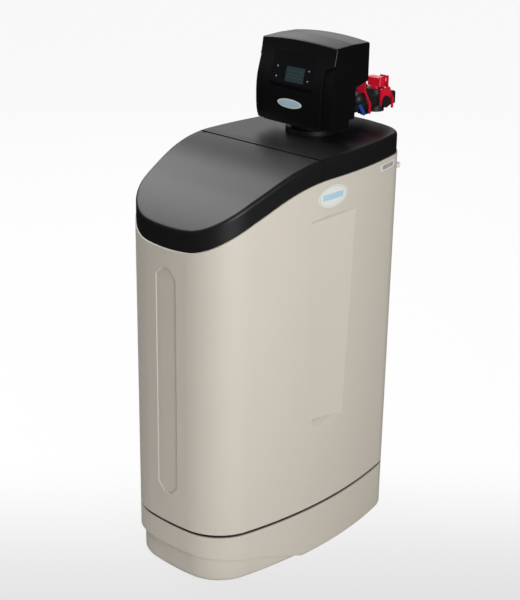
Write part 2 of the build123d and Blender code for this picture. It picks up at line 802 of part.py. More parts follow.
with BuildPart() as valve_body:
    with Locations((0, tank_y, tank_neck_top)):
        Cylinder(tank_neck_bore - rest_gap, thread_length, align=downward)
        Cylinder(valve_neck_radius, valve_neck_height, align=upward)
    with BuildSketch(Plane.XY.offset(valve_block_bottom)):
        with Locations((0, (block_front_y + block_rear_y) / 2)):
            RectangleRounded(2 * block_half_width, block_rear_y - block_front_y, valve_corner_radius)
    extrude(amount=block_top - valve_block_bottom)
    with Locations(Plane((0, barrel_front_y, barrel_height), z_dir=(0, 1, 0))):
        Cylinder(barrel_radius, barrel_rear_y - barrel_front_y, align=upward)
    with Locations((0, tank_y, block_top)):
        Box(barrel_radius, barrel_rear_y - tank_y + barrel_radius, barrel_height - block_top)
    for side in (-1, 1):
        port_x = side * port_spacing / 2
        with Locations(Plane((port_x, block_rear_y - overrun, port_height), z_dir=(0, 1, 0))):
            Cylinder(port_radius, port_end_y - block_rear_y + overrun, align=upward)
        with Locations(Plane((port_x, port_end_y, port_height), z_dir=(0, 1, 0))):
            Cylinder(bypass_radius, port_flange, align=downward)
        with Locations(Plane((port_x, block_rear_y, port_height), z_dir=(0, 1, 0))):
            Cylinder(port_bore, port_end_y - block_rear_y, align=upward, mode=Mode.SUBTRACT)
    with Locations(Plane((0, boss_y, boss_height), z_dir=(1, 0, 0))):
        Cylinder(boss_radius, boss_end_x, align=upward)
    with Locations(Plane((drain_end_x, drain_y, drain_height), z_dir=(1, 0, 0))):
        Cylinder(drain_radius, -drain_end_x, align=upward)
        Cylinder(drain_bore, -drain_end_x - block_half_width, align=upward, mode=Mode.SUBTRACT)
    with Locations(Plane((0, barrel_front_y, barrel_height), z_dir=(0, 1, 0))):
        Cylinder(
            barrel_bore,
            barrel_rear_y - barrel_front_y - barrel_floor,
            align=upward,
            mode=Mode.SUBTRACT,
        )
    with Locations((0, tank_y, tank_neck_top - thread_length)):
        Cylinder(riser_radius + running_gap, thread_length / 2, align=upward, mode=Mode.SUBTRACT)
    with Locations((brine_rise_x, brine_rise_y, valve_block_bottom)):
        Cylinder(brine_tube_radius + running_gap, collar_wall, align=downward, mode=Mode.SUBTRACT)
write_out(valve_body, "valve_body")

# Domed cap screwed on the side boss
dome_radius = 12.5
dome_straight = 6.0
dome_rise_x = 11.25

with BuildPart() as boss_cap:
    with BuildSketch(Plane.XZ.offset(-boss_y)):
        with BuildLine():
            start = (boss_end_x, boss_height)
            Line(start, (boss_end_x, boss_height + dome_radius))
            crown = EllipticalCenterArc(
                (boss_end_x + dome_straight, boss_height),
                dome_rise_x,
                dome_radius,
                start_angle=0,
                arc_size=quarter_turn,
            )
            Line((boss_end_x, boss_height + dome_radius), crown @ 1)
            Line(crown @ 0, start)
        make_face()
    revolve(axis=Axis((0, boss_y, boss_height), (1, 0, 0)))
write_out(boss_cap, "boss_cap")

# Piston and its rod, sliding through a stack of seal rings in the barrel
piston_radius = 10.9
piston_length = 26.0
piston_front_y = 104.0
piston_rod_radius = 4.0
piston_rod_front_y = 77.0
seal_rings = 5
seal_width = 4.0
piston_groove = 2.0
piston_land = 8.5

with BuildPart() as seal_stack:
    seal_pitch = (barrel_rear_y - barrel_floor - barrel_front_y - 2 * seal_width) / (seal_rings - 1)
    for ring in range(seal_rings):
        with BuildSketch(Plane.XZ.offset(-barrel_front_y - seal_width / 2 - ring * seal_pitch)):
            with Locations((0, barrel_height)):
                Circle(barrel_bore)
                Circle(piston_radius + running_gap, mode=Mode.SUBTRACT)
        extrude(amount=-seal_width)
write_out(seal_stack, "seal_stack")

with BuildPart() as piston:
    with Locations(Plane((0, piston_front_y, barrel_height), z_dir=(0, 1, 0))):
        Cylinder(piston_radius, piston_length, align=upward)
    with BuildSketch(Plane.XZ.offset(-piston_front_y - piston_land)):
        with Locations((0, barrel_height)):
            Circle(piston_radius + piston_groove)
            Circle(piston_radius - piston_groove, mode=Mode.SUBTRACT)
    extrude(amount=2 * piston_land - piston_length, mode=Mode.SUBTRACT)
    with Locations(Plane((0, piston_rod_front_y, barrel_height), z_dir=(0, 1, 0))):
        Cylinder(piston_rod_radius, piston_front_y - piston_rod_front_y, align=upward)
write_out(piston, "piston")

# Head covers: a crowned front and a squared rear, parted along an S-shaped seam
head_height = 167.5
head_front_y = 64.7
head_rear_y = 182.4
head_bulge = 6.5
head_arch = 7.5
head_tilt = 2.0
head_edge_radius = 3.0
head_rear_narrowing = 2.5
head_sections = (
    (0, 0.0287, 0.023),
    (0.197, 0, 0.005),
    (0.358, 0.0024, 0),
    (0.555, 0.0263, 0.0026),
    (0.734, 0.0728, 0.0102),
    (0.913, 0.1116, 0.0102),
    (1.063, 0.1475, 0.0102),
)
cheek_x = 74.0
cheek_depth = 3.5
cheek_top = 973.0
cheek_rise = 16.5
notch_y = 142.0
notch_top = 933.5
notch_slope = 10.0
notch_step_y = 125.0
notch_step_top = 872.0
seam_gap = 0.6
seam_low_y = 98.0
seam_bend_top = 968.0
seam_bend_low = 924.0
crest_height = head_bottom + head_height


def head_sides(inset):
    """Block between the head's two sides, which draw in a little towards the foot and the rear."""
    rear_half_width = head_width / 2 - head_rear_narrowing - inset
    ahead_y = head_front_y - head_bulge - overrun
    back_y = head_rear_y - inset
    with BuildPart(mode=Mode.PRIVATE) as block:
        for height_share, setback_share, narrow_share in head_sections:
            half_width = head_width / 2 - narrow_share * head_width - inset
            with BuildSketch(Plane.XY.offset(head_bottom + height_share * head_height)):
                with BuildLine():
                    Polyline(
                        (-half_width, ahead_y),
                        (half_width, ahead_y),
                        (rear_half_width, back_y),
                        (-rear_half_width, back_y),
                        close=True,
                    )
                make_face()
        loft()
        with BuildSketch(Plane.XY.offset(head_bottom + inset)):
            Rectangle(2 * head_width, 2 * head_width)
        extrude(amount=-head_height, mode=Mode.SUBTRACT)
    return block.part


def head_form(front_inset, inset):
    """Head block: lofted front face, crowned top, plain sides and back, each moved in."""
    half_width = head_width / 2
    with BuildPart(mode=Mode.PRIVATE) as form:
        for height_share, setback_share, narrow_share in head_sections:
            face_y = head_front_y + setback_share * head_height + front_inset
            with BuildSketch(Plane.XY.offset(head_bottom + height_share * head_height)):
                with BuildLine():
                    face = ThreePointArc(
                        (-half_width, face_y), (0, face_y - head_bulge), (half_width, face_y)
                    )
                    Polyline(face @ 1, (half_width, head_rear_y), (-half_width, head_rear_y), face @ 0)
                make_face()
        loft()
        for forward in (1, -1):
            tilt = radians(head_tilt)
            lean = Plane(
                origin=(0, seam_y, crest_height - inset),
                x_dir=(forward, 0, 0),
                z_dir=(0, -forward * cos(tilt), -sin(tilt)),
            )
            with BuildSketch(lean.offset(-overrun)):
                with BuildLine():
                    arch = ThreePointArc(
                        (-head_width / 2, -head_arch), (0, 0), (head_width / 2, -head_arch)
                    )
                    Polyline(
                        arch @ 1,
                        (head_width, -head_arch),
                        (head_width, head_height),
                        (-head_width, head_height),
                        (-head_width, -head_arch),
                        arch @ 0,
                    )
                make_face()
            extrude(amount=head_width + overrun, mode=Mode.SUBTRACT)
        add(head_sides(inset), mode=Mode.INTERSECT)
    return form.part


def cheek_form(skin):
    """Both cheek recesses beside the display panel, as deep as the cheek plus a skin."""
    with BuildPart(mode=Mode.PRIVATE) as cheeks:
        with BuildSketch(Plane.XZ):
            with BuildLine():
                Polyline(
                    (cheek_x - skin, head_bottom - overrun),
                    (cheek_x - skin, cheek_top + skin),
                    (head_width / 2 + overrun, cheek_top + skin + cheek_rise),
                    (head_width / 2 + overrun, head_bottom - overrun),
                    close=True,
                )
            make_face()
            mirror(about=Plane.YZ)
        extrude(amount=-seam_low_y)
        add(head_form(cheek_depth + skin, 0), mode=Mode.SUBTRACT)
    return cheeks.part


def notch_form(skin):
    """Space cut out below the rear cover, where the pipe ports come through."""
    with BuildPart(mode=Mode.PRIVATE) as notch:
        with BuildSketch(Plane.YZ):
            with BuildLine():
                Polyline(
                    (notch_y - skin, notch_top + skin),
                    (head_rear_y + overrun, notch_top + notch_slope + skin),
                    (head_rear_y + overrun, head_bottom - overrun),
                    (notch_step_y - skin, head_bottom - overrun),
                    (notch_step_y - skin, notch_step_top + skin),
                    (notch_y - skin, notch_step_top + skin),
                    close=True,
                )
            make_face()
        extrude(amount=head_width, both=True)
    return notch.part


def behind_seam(gap):
    """Everything behind the cover seam, moved back by a gap."""
    with BuildPart(mode=Mode.PRIVATE) as space:
        with BuildSketch(Plane.YZ):
            with BuildLine():
                middle = ((seam_y + seam_low_y) / 2 + gap, (seam_bend_top + seam_bend_low) / 2)
                upper = TangentArc((seam_y + gap, seam_bend_top), middle, tangent=(0, -1))
                lower = TangentArc((seam_low_y + gap, seam_bend_low), middle, tangent=(0, 1))
                ceiling = crest_height + overrun
                floor = head_bottom - overrun
                Polyline(
                    upper @ 0,
                    (seam_y + gap, ceiling),
                    (head_rear_y + overrun, ceiling),
                    (head_rear_y + overrun, floor),
                    (seam_low_y + gap, floor),
                    lower @ 0,
                )
            make_face()
        extrude(amount=head_width, both=True)
    return space.part


block_gap = 1.5
with BuildPart() as head_space:
    add(head_form(head_wall, head_wall))
    add(cheek_form(head_wall), mode=Mode.SUBTRACT)
    add(notch_form(head_wall), mode=Mode.SUBTRACT)

with BuildPart() as head_shell:
    add(head_form(0, 0))
    outer_edges = [
        edge
        for edge in head_shell.edges()
        if edge.center().Z > head_bottom + head_edge_radius and abs(edge.center().Y - seam_y) > overrun
    ]
    fillet(outer_edges, head_edge_radius)
    add(cheek_form(0), mode=Mode.SUBTRACT)
    add(notch_form(0), mode=Mode.SUBTRACT)
    add(head_space.part, mode=Mode.SUBTRACT)
    with Locations((0, tank_y, head_bottom)):
        Cylinder(valve_neck_radius + block_gap, 2 * (notch_step_top - head_bottom), mode=Mode.SUBTRACT)
    with Locations((0, notch_y, valve_block_bottom - block_gap)):
        Box(
            2 * (block_half_width + block_gap),
            2 * (notch_y - notch_step_y + head_wall),
            barrel_height + barrel_radius - valve_block_bottom + 2 * block_gap,
            align=upward,
            mode=Mode.SUBTRACT,
        )

# Display window, buttons and badge, all set in the front cover
window_half_width = 53.0
window_low = 928.0
window_high = 995.0
window_corner = 4.0
window_sunk = 0.8
window_flange = 3.0
window_thickness = 1.6
screen_x = 6.0
screen_half_width = 24.0
screen_low = 941.0
screen_high = 971.0
button_radius = 4.5
button_x = 40.0
button_low = 948.0
button_high = 967.0
button_travel = 0.8
badge_height = 900.0
badge_half_length = 31.0
badge_half_height = 9.0
badge_thickness = 0.8
board_y = 81.6
board_thickness = 1.6
board_half_width = 66.0
board_low = 938.0
board_high = 990.0
post_x = 61.0
post_radius = 3.0
post_low = 942.5
post_high = 983.0
window_middle = (window_low + window_high) / 2
button_places = {
    "button_left_high": (-button_x, button_high),
    "button_left_low": (-button_x, button_low),
    "button_right_high": (button_x, button_high),
    "button_right_low": (button_x, button_low),
}


def front_layer(outline, front_inset, back_inset):
    """Layer of the head's front face between two insets, under an outline drawn on the XZ plane."""
    with BuildPart(mode=Mode.PRIVATE) as layer:
        extrude(outline, amount=seam_y, dir=(0, 1, 0))
        add(head_form(front_inset, 0), mode=Mode.INTERSECT)
        add(head_form(back_inset, 0), mode=Mode.SUBTRACT)
    return layer.part


def window_outline(grow):
    with BuildSketch(Plane.XZ, mode=Mode.PRIVATE) as outline:
        with Locations((0, window_middle)):
            RectangleRounded(
                2 * (window_half_width + grow),
                window_high - window_low + 2 * grow,
                window_corner + grow,
            )
    return outline.sketch


with BuildSketch(Plane.XZ) as badge_outline:
    with Locations((0, badge_height)):
        Ellipse(badge_half_length, badge_half_height)

with BuildPart() as post_form:
    with BuildSketch(Plane.XZ.offset(-board_y + rest_gap)):
        for side in (-1, 1):
            with Locations((side * post_x, post_low), (side * post_x, post_high)):
                Circle(post_radius)
    extrude(amount=head_bulge + 2 * overrun)
    add(head_form(head_wall / 2, head_wall / 2), mode=Mode.INTERSECT)

with BuildPart() as head_front_cover:
    add(head_shell.part)
    add(behind_seam(-seam_gap / 2), mode=Mode.SUBTRACT)
    extrude(window_outline(rest_gap), amount=seam_low_y, dir=(0, 1, 0), mode=Mode.SUBTRACT)
    add(post_form.part)
write_out(head_front_cover, "head_front_cover")

with BuildPart() as head_rear_cover:
    add(head_shell.part)
    add(behind_seam(seam_gap / 2), mode=Mode.INTERSECT)
write_out(head_rear_cover, "head_rear_cover")

with BuildPart() as display_window:
    add(front_layer(window_outline(0), window_sunk, head_wall + running_gap + window_thickness))
    flange_inset = head_wall + running_gap
    add(front_layer(window_outline(window_flange), flange_inset, flange_inset + window_thickness))
    with BuildSketch(Plane.XZ):
        with Locations((screen_x, (screen_low + screen_high) / 2)):
            Rectangle(2 * screen_half_width, screen_high - screen_low)
        with Locations(*button_places.values()):
            Circle(button_radius + rest_gap)
    extrude(amount=-seam_y, mode=Mode.SUBTRACT)
write_out(display_window, "display_window")

with BuildPart() as lcd_panel:
    with BuildSketch(Plane.XZ.offset(-board_y)):
        with Locations((screen_x, (screen_low + screen_high) / 2)):
            Rectangle(2 * (screen_half_width - rest_gap), screen_high - screen_low - 2 * rest_gap)
    extrude(amount=head_bulge + 2 * overrun)
    add(head_form(window_sunk + rest_gap, 0), mode=Mode.INTERSECT)
write_out(lcd_panel, "lcd_panel")

with BuildPart() as circuit_board:
    with Locations((0, board_y, (board_low + board_high) / 2)):
        Box(
            2 * board_half_width,
            board_thickness,
            board_high - board_low,
            align=(Align.CENTER, Align.MIN, Align.CENTER),
        )
write_out(circuit_board, "circuit_board")

for name, (place_x, place_z) in button_places.items():
    with BuildPart() as button:
        with BuildSketch(Plane.XZ.offset(-board_y + button_travel + rest_gap / 2)):
            with Locations((place_x, place_z)):
                Circle(button_radius)
        extrude(amount=head_bulge + 2 * overrun)
        add(head_form(window_sunk - rest_gap, 0), mode=Mode.INTERSECT)
    write_out(button, name)

with BuildPart() as front_badge:
    add(front_layer(badge_outline.sketch, -badge_thickness, 0))
write_out(front_badge, "front_badge")

# Drive: a motor behind the bracket turns a pinion, a large gear and, through it, the piston rod
gear_module = 1.25
gear_teeth = 40
pinion_teeth = 12
gear_front_y = 81.0
gear_width = 6.0
gear_hub_radius = 8.0
bracket_front_y = 90.0
bracket_rear_y = 94.0
bracket_half_width = 44.0
bracket_low = 884.0
bracket_high = 946.0
pinion_turn = 140.0
full_turn = 360.0
tooth_rise = 1.1
tooth_depth = 1.45
tooth_root_share = 0.36
tooth_tip_share = 0.12
motor_radius = 12.5
motor_length = 30.0
shaft_radius = 1.5
gear_distance = gear_module * (gear_teeth + pinion_teeth) / 2
pinion_x = gear_distance * cos(radians(pinion_turn))
pinion_z = barrel_height + gear_distance * sin(radians(pinion_turn))


def gear_outline(teeth, turn, centre):
    """Spur gear outline with straight flanks, seen from behind, one tooth centred at a turn."""
    pitch_radius = gear_module * teeth / 2
    tip_radius = pitch_radius + tooth_rise
    root_radius = pitch_radius - tooth_depth
    step = full_turn / teeth
    points = []
    for tooth in range(teeth):
        middle = turn + tooth * step
        for radius, angle in (
            (root_radius, middle - step * tooth_root_share),
            (tip_radius, middle - step * tooth_tip_share),
            (tip_radius, middle + step * tooth_tip_share),
            (root_radius, middle + step * tooth_root_share),
        ):
            across = radius * cos(radians(angle))
            rise = radius * sin(radians(angle))
            points.append((centre[0] + across, centre[1] + rise))
    return points


with BuildPart() as drive_gear:
    with BuildSketch(Plane.XZ.offset(-gear_front_y)):
        with BuildLine():
            Polyline(*gear_outline(gear_teeth, pinion_turn, (0, barrel_height)), close=True)
        make_face()
    extrude(amount=-gear_width)
    with Locations(Plane((0, gear_front_y, barrel_height), z_dir=(0, 1, 0))):
        Cylinder(gear_hub_radius, bracket_rear_y - running_gap - gear_front_y, align=upward)
        Cylinder(
            piston_rod_radius + running_gap,
            bracket_rear_y - gear_front_y,
            align=upward,
            mode=Mode.SUBTRACT,
        )
write_out(drive_gear, "drive_gear")

with BuildPart() as motor_pinion:
    with BuildSketch(Plane.XZ.offset(-gear_front_y)):
        with BuildLine():
            half_step = full_turn / (2 * pinion_teeth)
            Polyline(
                *gear_outline(pinion_teeth, pinion_turn + full_turn / 2 + half_step, (pinion_x, pinion_z)),
                close=True,
            )
        make_face()
    extrude(amount=-gear_width)
    with Locations(Plane((pinion_x, gear_front_y, pinion_z), z_dir=(0, 1, 0))):
        Cylinder(shaft_radius, bracket_rear_y - gear_front_y, align=upward)
write_out(motor_pinion, "motor_pinion")

with BuildPart() as drive_bracket:
    with Locations((0, bracket_front_y, (bracket_low + bracket_high) / 2)):
        Box(
            2 * bracket_half_width,
            bracket_rear_y - bracket_front_y,
            bracket_high - bracket_low,
            align=(Align.CENTER, Align.MIN, Align.CENTER),
        )
    with Locations(Plane((0, bracket_front_y, barrel_height), z_dir=(0, 1, 0))):
        Cylinder(gear_hub_radius + running_gap, bracket_rear_y, mode=Mode.SUBTRACT)
    with Locations(Plane((pinion_x, bracket_front_y, pinion_z), z_dir=(0, 1, 0))):
        Cylinder(shaft_radius + running_gap, bracket_rear_y, mode=Mode.SUBTRACT)
write_out(drive_bracket, "drive_bracket")

with BuildPart() as drive_motor:
    with Locations(Plane((pinion_x, bracket_rear_y, pinion_z), z_dir=(0, 1, 0))):
        Cylinder(motor_radius, motor_length, align=upward)
        fillet(drive_motor.edges().group_by(Axis.Y)[-1], shaft_radius)
write_out(drive_motor, "drive_motor")

# Bypass: two barrels with rotor towers and a crossover, between ribbed unions and pipe adapters
union_front_y = 245.0
union_rear_y = 257.0
union_radius = 24.0
union_ribs = 18
union_rib_radius = 1.6
barrel_start_y = 238.6
bypass_bore = 10.0
tower_radius = 18.5
tower_low = 853.0
tower_high = 899.0
crossover_radius = 13.0
side_port_radius = 12.0
side_port_end_x = 58.0
side_port_y = 291.0
housing_front_y = 257.6
housing_rear_y = 276.0
housing_end_x = 50.0
housing_low = 866.5
housing_high = 889.0
housing_rail = 3.0
housing_sunk = 4.0
socket_front_y = 306.0
socket_rear_y = 323.5
socket_radius = 19.0
adapter_radius = 14.0
adapter_throat = 8.0
adapter_bore = 9.5
adapter_seat_y = 308.0
pipe_depth = 12.0
flange_width = 30.0
flange_height = 27.0
flange_corner = 4.0
rotor_radius = 13.0

with BuildPart() as bypass_body:
    for side in (-1, 1):
        barrel_x = side * port_spacing / 2
        with Locations(Plane((barrel_x, barrel_start_y, port_height), z_dir=(0, 1, 0))):
            Cylinder(bypass_radius, socket_front_y - barrel_start_y, align=upward)
            Cylinder(socket_radius, union_front_y - running_gap - barrel_start_y, align=upward)
        with BuildSketch(Plane.YZ.offset(barrel_x)):
            with Locations(((housing_front_y + housing_rear_y) / 2, (housing_low + housing_high) / 2)):
                Rectangle(housing_rear_y - housing_front_y, housing_high - housing_low)
        extrude(amount=side * (housing_end_x - port_spacing / 2))
        with BuildSketch(Plane.YZ.offset(side * housing_end_x)):
            with Locations(((housing_front_y + housing_rear_y) / 2, (housing_low + housing_high) / 2)):
                Rectangle(
                    housing_rear_y - housing_front_y - 2 * housing_rail,
                    housing_high - housing_low - 2 * housing_rail,
                )
        extrude(amount=-side * housing_sunk, mode=Mode.SUBTRACT)
        with Locations(Plane((barrel_x, socket_front_y, port_height), z_dir=(0, 1, 0))):
            Cylinder(socket_radius, socket_rear_y - socket_front_y, align=upward)
        with Locations((barrel_x, rotor_y, tower_low)):
            Cylinder(tower_radius, tower_high - tower_low, align=upward)
        with Locations(Plane((barrel_x, side_port_y, port_height), z_dir=(side, 0, 0))):
            Cylinder(side_port_radius, side_port_end_x - port_spacing / 2, align=upward)
    with Locations((0, rotor_y, port_height)):
        Cylinder(crossover_radius, port_spacing, rotation=(0, quarter_turn, 0))
    for side in (-1, 1):
        barrel_x = side * port_spacing / 2
        with Locations((barrel_x, rotor_y, tower_low + bypass_radius / 2)):
            Cylinder(
                rotor_radius + running_gap,
                tower_high - tower_low,
                align=upward,
                mode=Mode.SUBTRACT,
            )
        with Locations(Plane((barrel_x, barrel_start_y, port_height), z_dir=(0, 1, 0))):
            Cylinder(
                bypass_bore,
                socket_rear_y - barrel_start_y + overrun,
                align=upward,
                mode=Mode.SUBTRACT,
            )
        with Locations(Plane((barrel_x, adapter_seat_y, port_height), z_dir=(0, 1, 0))):
            Cylinder(adapter_radius + running_gap, adapter_seat_y, align=upward, mode=Mode.SUBTRACT)
write_out(bypass_body, "bypass_body")

with BuildPart() as union_nuts:
    for side in (-1, 1):
        nut_plane = Plane((side * port_spacing / 2, union_front_y, port_height), z_dir=(0, 1, 0))
        with BuildSketch(nut_plane):
            Circle(union_radius - union_rib_radius)
            with PolarLocations(union_radius - union_rib_radius, union_ribs):
                Circle(union_rib_radius)
        extrude(amount=union_rear_y - union_front_y)
        with BuildSketch(nut_plane):
            Circle(bypass_radius + rest_gap)
        extrude(amount=union_rear_y - union_front_y, mode=Mode.SUBTRACT)
write_out(union_nuts, "union_nuts")

for name, side in (("outlet_adapter", 1), ("inlet_adapter", -1)):
    with BuildPart() as adapter:
        adapter_x = side * port_spacing / 2
        with Locations(Plane((adapter_x, adapter_seat_y, port_height), z_dir=(0, 1, 0))):
            Cylinder(adapter_radius, bypass_end_y - adapter_seat_y, align=upward)
        with BuildSketch(Plane.XZ.offset(-bypass_end_y)):
            with Locations((adapter_x, port_height)):
                RectangleRounded(flange_width, flange_height, flange_corner)
        extrude(amount=bypass_end_y - socket_rear_y - running_gap)
        with Locations(Plane((adapter_x, adapter_seat_y, port_height), z_dir=(0, 1, 0))):
            Cylinder(adapter_throat, bypass_end_y - adapter_seat_y, align=upward, mode=Mode.SUBTRACT)
        with Locations(Plane((adapter_x, bypass_end_y, port_height), z_dir=(0, 1, 0))):
            Cylinder(adapter_bore, pipe_depth, align=downward, mode=Mode.SUBTRACT)
    write_out(adapter, name)

# Red levers on the rotors: turned a quarter to send the water round the softener
lever_length = 34.0
lever_width = 17.0
lever_height = 19.0
lever_corner = 4.5
lever_edge_radius = 3.0
lever_low = 904.0
hub_radius = 11.0

for name, rotor_name, side in (("outlet_lever", "outlet_rotor", 1), ("inlet_lever", "inlet_rotor", -1)):
    with BuildPart() as lever:
        with Locations((side * port_spacing / 2, rotor_y, tower_high + rest_gap)):
            Cylinder(hub_radius, lever_low - tower_high, align=upward)
        with BuildSketch(Plane.XY.offset(lever_low)):
            with Locations((side * port_spacing / 2, rotor_y)):
                RectangleRounded(lever_length, lever_width, lever_corner)
        extrude(amount=lever_height)
        fillet(lever.edges().group_by(Axis.Z)[-1], lever_edge_radius)
    write_out(lever, name)
    with BuildPart() as rotor:
        with Locations((side * port_spacing / 2, rotor_y, tower_low + bypass_radius / 2 + running_gap)):
            Cylinder(
                rotor_radius,
                tower_high + rest_gap - tower_low - bypass_radius / 2 - running_gap,
                align=upward,
            )
        with Locations((side * port_spacing / 2, rotor_y, port_height)):
            Cylinder(bypass_bore, 2 * bypass_radius, rotation=(quarter_turn, 0, 0), mode=Mode.SUBTRACT)
    write_out(rotor, rotor_name)

# Red pull clips: forked plates pushed down over both ends of the barrels, and small ones on the side ports
clip_thickness = 4.0
clip_tab_half_width = 10.0
clip_top = 921.0
clip_shoulder = 897.0
clip_spread = 21.0
clip_arm = 3.5
clip_foot = 857.0
clip_slot_height = 9.0
clip_slot_width = 4.0
port_clip_y = 244.4
pipe_clip_y = 318.0
small_clip_x = 53.0
small_clip_top = 902.0
small_clip_foot = 866.0
small_clip_arm = 3.0

for name, clip_y in (("port_clips", port_clip_y), ("pipe_clips", pipe_clip_y)):
    with BuildPart() as clips:
        for side in (-1, 1):
            with BuildSketch(Plane((side * port_spacing / 2, clip_y, 0), x_dir=(1, 0, 0), z_dir=(0, -1, 0))):
                with BuildLine():
                    Polyline(
                        (-clip_tab_half_width, clip_top),
                        (clip_tab_half_width, clip_top),
                        (clip_tab_half_width, clip_shoulder + clip_arm),
                        (clip_spread + clip_arm, port_height + clip_arm),
                        (clip_spread + clip_arm, clip_foot),
                        (clip_spread, clip_foot),
                        (clip_spread, port_height),
                        (clip_tab_half_width, clip_shoulder),
                        (-clip_tab_half_width, clip_shoulder),
                        (-clip_spread, port_height),
                        (-clip_spread, clip_foot),
                        (-clip_spread - clip_arm, clip_foot),
                        (-clip_spread - clip_arm, port_height + clip_arm),
                        (-clip_tab_half_width, clip_shoulder + clip_arm),
                        close=True,
                    )
                make_face()
                with Locations((0, port_height)):
                    Circle(socket_radius + rest_gap, mode=Mode.SUBTRACT)
                for slot_side in (-1, 1):
                    with Locations((slot_side * clip_slot_width, clip_top - clip_slot_height)):
                        SlotOverall(
                            clip_slot_height,
                            clip_slot_width,
                            rotation=quarter_turn,
                            mode=Mode.SUBTRACT,
                        )
            extrude(amount=clip_thickness)
    write_out(clips, name)

with BuildPart() as side_clips:
    for side in (-1, 1):
        with BuildSketch(Plane((side * small_clip_x, side_port_y, 0), x_dir=(0, 1, 0), z_dir=(1, 0, 0))):
            with Locations((0, (small_clip_top + small_clip_foot) / 2)):
                RectangleRounded(
                    2 * (side_port_radius + small_clip_arm),
                    small_clip_top - small_clip_foot,
                    small_clip_arm,
                )
            with Locations((0, port_height)):
                Circle(side_port_radius + running_gap, mode=Mode.SUBTRACT)
                Rectangle(
                    2 * side_port_radius,
                    2 * side_port_radius,
                    align=(Align.CENTER, Align.MAX),
                    mode=Mode.SUBTRACT,
                )
        extrude(amount=clip_thickness / 2, both=True)
write_out(side_clips, "side_clips")

# Plain tag hanging from the outlet port, and the inlet gland on the rear cover
tag_thickness = 1.2
tag_width = 8.0
tag_length = 36.0
tag_tilt = 35.0
tag_y = 226.0
tag_height = 868.5
gland_x = -60.0
gland_height = 962.0
gland_radius = 7.0
gland_bore = 3.5
gland_length = 12.0

with BuildPart() as port_tag:
    tag_x = port_spacing / 2 + port_radius + running_gap
    with BuildSketch(Plane((tag_x, tag_y, tag_height), x_dir=(0, 1, 0), z_dir=(1, 0, 0))):
        SlotOverall(tag_length, tag_width, rotation=tag_tilt - quarter_turn)
    extrude(amount=tag_thickness)
write_out(port_tag, "port_tag")

with BuildPart() as inlet_gland:
    with Locations(Plane((gland_x, head_rear_y, gland_height), z_dir=(0, 1, 0))):
        Cylinder(gland_radius, gland_length, align=upward)
        fillet(inlet_gland.edges().group_by(Axis.Y)[-1], gland_bore / 2)
        Cylinder(gland_bore, gland_length, align=upward, mode=Mode.SUBTRACT)
write_out(inlet_gland, "inlet_gland")
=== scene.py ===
import math

import bpy
from mathutils import Matrix, Vector
from mathutils.bvhtree import BVHTree


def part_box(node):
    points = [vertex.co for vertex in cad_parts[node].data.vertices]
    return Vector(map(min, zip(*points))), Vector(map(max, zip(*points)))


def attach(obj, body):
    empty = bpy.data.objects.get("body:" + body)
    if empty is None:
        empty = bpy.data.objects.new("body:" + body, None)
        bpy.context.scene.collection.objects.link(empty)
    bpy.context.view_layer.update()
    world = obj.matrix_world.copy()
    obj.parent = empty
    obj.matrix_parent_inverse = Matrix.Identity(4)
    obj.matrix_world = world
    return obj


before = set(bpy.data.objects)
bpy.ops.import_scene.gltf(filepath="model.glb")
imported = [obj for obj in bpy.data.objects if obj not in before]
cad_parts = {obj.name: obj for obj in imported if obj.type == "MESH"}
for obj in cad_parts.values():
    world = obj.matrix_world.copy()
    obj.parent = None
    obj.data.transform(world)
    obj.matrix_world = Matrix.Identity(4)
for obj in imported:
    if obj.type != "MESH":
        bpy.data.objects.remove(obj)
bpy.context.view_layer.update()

# Camera: stands where the photograph was taken, to the front right of the cabinet and above it.
# The photograph is a crop of a wider frame, so the lens axis does not pass through its middle
# and the camera has a small shift.
camera_turn = math.radians(44.897)
camera_rise = math.radians(21.483)
camera_place = Vector((1.84333, -2.03514, 1.56972))
focal_pixels = 1458.5
frame_width_pixels = 520
frame_height_pixels = 600
axis_pixel_x = 200.87
axis_pixel_y = 307.45
sensor_size = 36.0

camera_data = bpy.data.cameras.new("camera")
camera_data.sensor_width = sensor_size
camera_data.lens = focal_pixels / frame_height_pixels * sensor_size
camera_data.shift_x = (frame_width_pixels / 2 - axis_pixel_x) / frame_height_pixels
camera_data.shift_y = (axis_pixel_y - frame_height_pixels / 2) / frame_height_pixels
camera = bpy.data.objects.new("camera", camera_data)
right = Vector((math.cos(camera_turn), math.sin(camera_turn), 0))
inward = Vector((-math.sin(camera_turn), math.cos(camera_turn), 0))
back = -inward * math.cos(camera_rise) + Vector((0, 0, math.sin(camera_rise)))
upright = back.cross(right)
camera.matrix_world = Matrix.Translation(camera_place) @ Matrix((right, upright, back)).transposed().to_4x4()
bpy.context.scene.collection.objects.link(camera)
bpy.context.scene.camera = camera
bpy.context.scene.view_settings.view_transform = "Standard"

# Studio: a pale paper floor that runs out to white behind the object, and weak white light all
# round. The camera sees the paper mostly by its own light, so that the background stays white
# while the lamps stay at a plain level, and polished black plastic mirrors a darker room.
floor_near = "#E4E4E4"
floor_far = "#FFFFFF"
floor_mirrored = "#2A2A2A"
floor_half_size = 30.0
fade_start = 2.35
fade_end = 3.05
own_light_share = 0.93
room_level = 0.15
mirrored_level = 0.05


def linear(code):
    """Linear RGBA of an sRGB hex value such as #BEB7AB."""
    channels = [int(code[at : at + 2], 16) / 255 for at in (1, 3, 5)]
    return [c / 12.92 if c <= 0.04045 else ((c + 0.055) / 1.055) ** 2.4 for c in channels] + [1]


